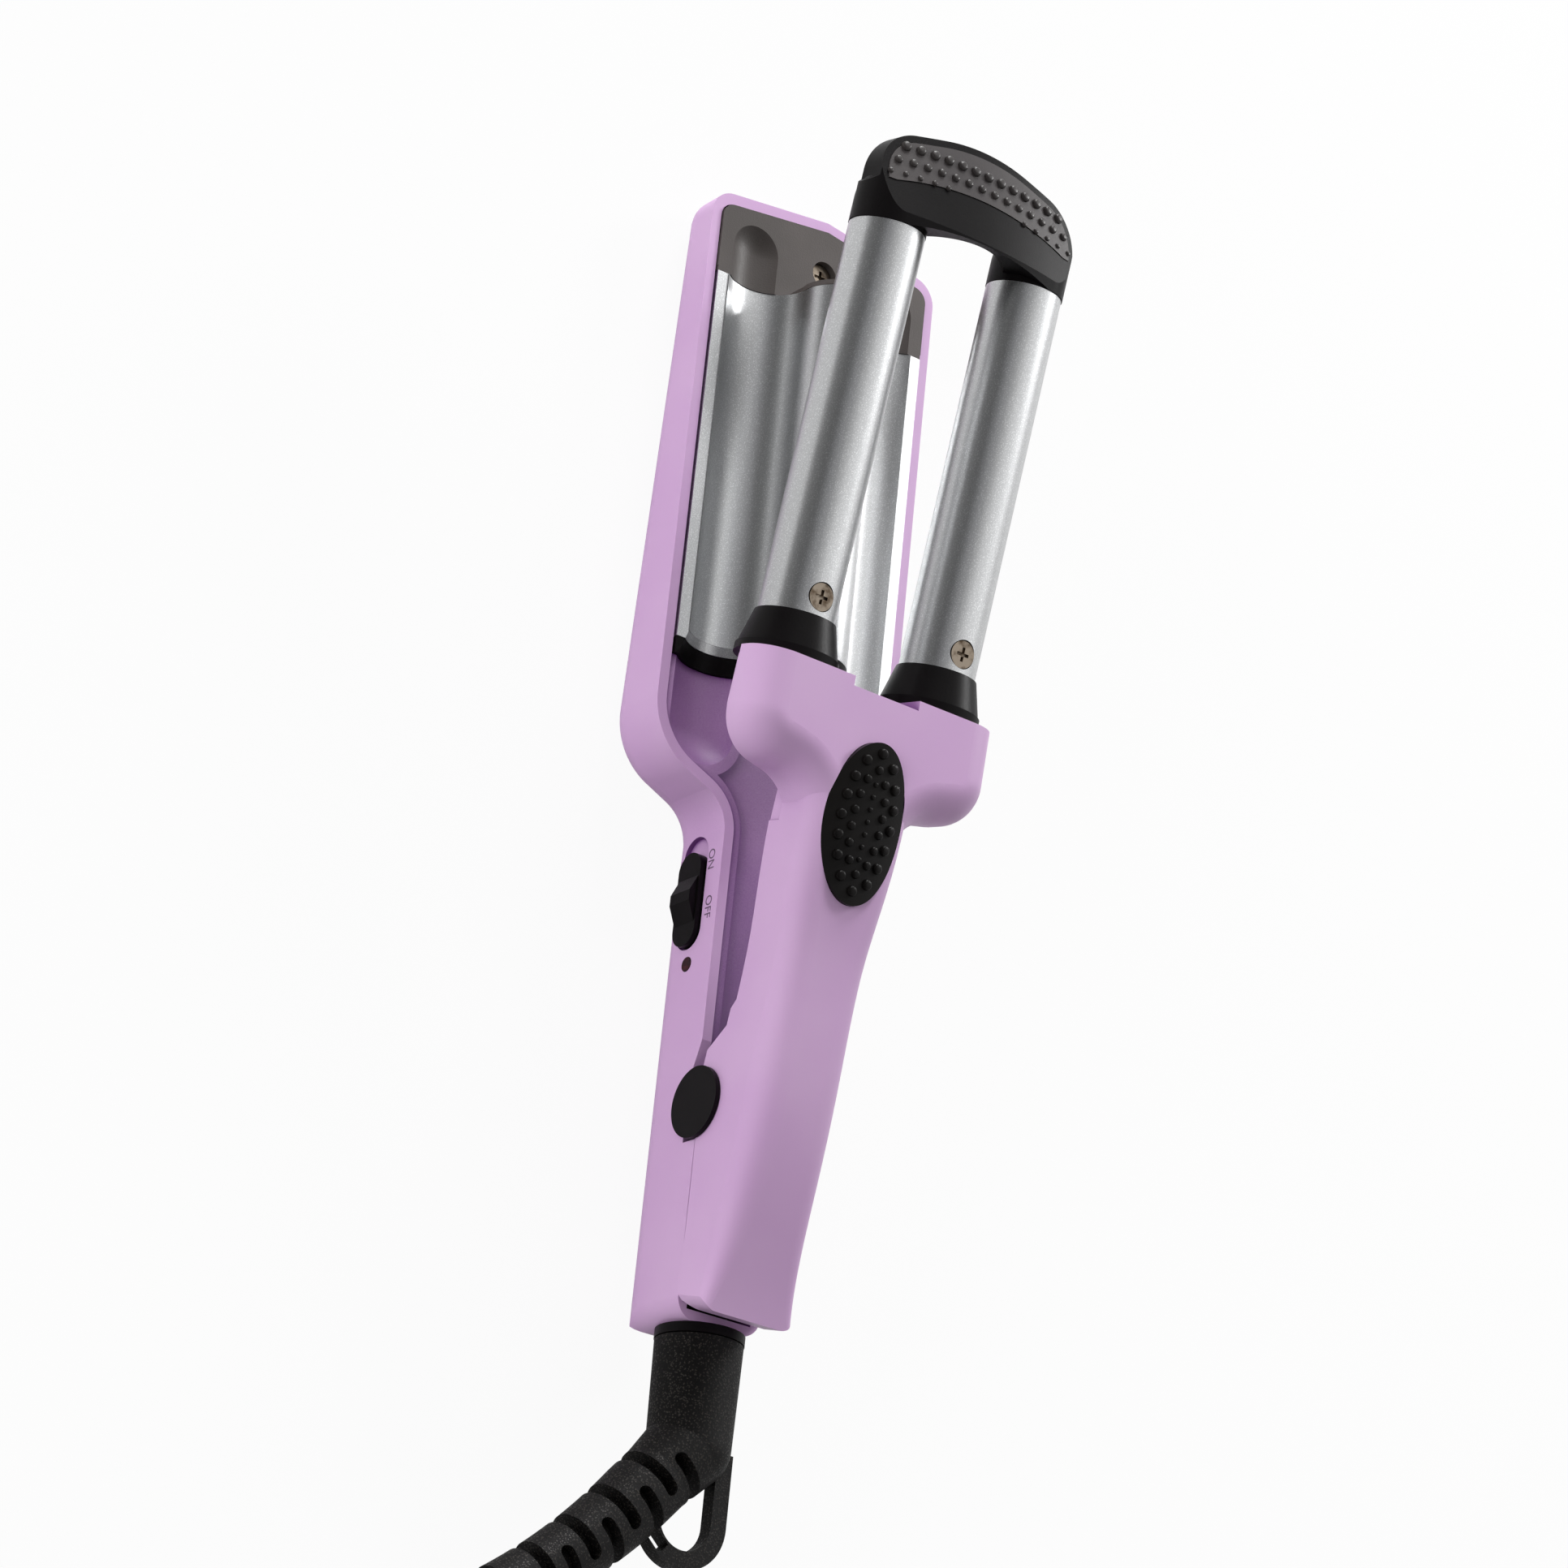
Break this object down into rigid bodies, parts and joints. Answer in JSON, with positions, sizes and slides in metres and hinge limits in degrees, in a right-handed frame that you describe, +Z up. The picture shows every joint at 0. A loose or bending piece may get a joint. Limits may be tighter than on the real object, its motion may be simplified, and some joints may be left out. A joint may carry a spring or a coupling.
{
  "type": "hair crimper",
  "caption": "Hair crimper with a fixed wave plate, a spring-opened lever jaw that carries two round barrels, a slide switch and a swivelling cord with a plug.",
  "frame": {"origin": "a point on the flat back of the lower jaw, under the wave plate, where the tool rests on a table", "axes": "+X along the tool toward the jaw's tip, +Y toward the side with the switch, +Z up from the table"},
  "size_m": [0.3802, 0.1041, 0.061],
  "materials": {
    "lilac_plastic": "satin",
    "wave_aluminium": "satin, fine grain",
    "barrel_aluminium": "satin, fine grain",
    "black_plastic": "satin",
    "textured_black": "fine texture",
    "dark_grey_plastic": "satin",
    "grey_rubber": "matte",
    "black_rubber": "matte",
    "nickel_steel": "polished",
    "zinc_steel": "plain",
    "spring_steel": "oiled",
    "red_lens": "clear red",
    "led_epoxy": "clear",
    "board": "solder mask",
    "heater_metal": "plain",
    "heat_proof_plastic": "moulded",
    "fuse_ceramic": "glazed",
    "switch_plastic": "moulded",
    "lead_silicone": "matte",
    "cord_rubber": "satin",
    "brass_pin": "polished",
    "clear_tie": "matte"
  },
  "bodies": {
    "lower_jaw": {"lower_shell": "lilac_plastic", "inner_cover": "lilac_plastic", "wave_plate": "wave_aluminium", "plate_base_trim": "black_plastic", "tip_cap": "dark_grey_plastic", "tip_cap_screw": "nickel_steel", "plate_heater": "heater_metal", "heater_support": "heat_proof_plastic", "thermal_fuse": "fuse_ceramic", "circuit_board": "board", "indicator_led": "led_epoxy", "indicator_lens": "red_lens", "switch_housing": "switch_plastic", "pivot_pin": "zinc_steel", "hinge_cap_left": "black_plastic", "hinge_cap_right": "black_plastic", "opening_spring": "spring_steel", "swivel_bush": "black_plastic", "shell_screws": "zinc_steel", "supply_leads": "lead_silicone", "plate_leads": "lead_silicone"},
    "upper_jaw": {"lever_shell": "lilac_plastic", "lever_cover": "lilac_plastic", "lever_screws": "zinc_steel", "thumb_pad": "black_rubber", "collar_left": "black_plastic", "collar_right": "black_plastic", "barrel_left": "barrel_aluminium", "barrel_right": "barrel_aluminium", "barrel_heater_left": "heater_metal", "barrel_heater_right": "heater_metal", "barrel_screws": "nickel_steel", "barrel_leads": "lead_silicone", "end_bridge": "black_plastic", "bridge_grip": "grey_rubber"},
    "switch": {"switch_knob": "black_plastic"},
    "swivel": {"swivel_stem": "brass_pin", "strain_relief": "textured_black", "cord": "cord_rubber", "cord_coil": "cord_rubber", "cord_tie": "clear_tie", "plug_body": "cord_rubber", "plug_pins": "brass_pin"}
  },
  "joints": [
    {"name": "jaw_hinge", "type": "hinge", "parent": "lower_jaw", "child": "upper_jaw", "pos_m": [-0.10417, 0, 0.01957], "axis": [0, 1, 0], "range_deg": [0, 12.65], "stiffness_Nm_per_rad": 0.6, "springref_deg": -22.92},
    {"name": "switch_slide", "type": "slide", "parent": "lower_jaw", "child": "switch", "axis": [0.9988, 0, -0.0487], "range_m": [0, 0.003]},
    {"name": "cord_swivel", "type": "hinge", "parent": "lower_jaw", "child": "swivel", "pos_m": [-0.14267, 0, 0.01644], "axis": [0.9988, 0, -0.0487], "continuous": true}
  ]
}
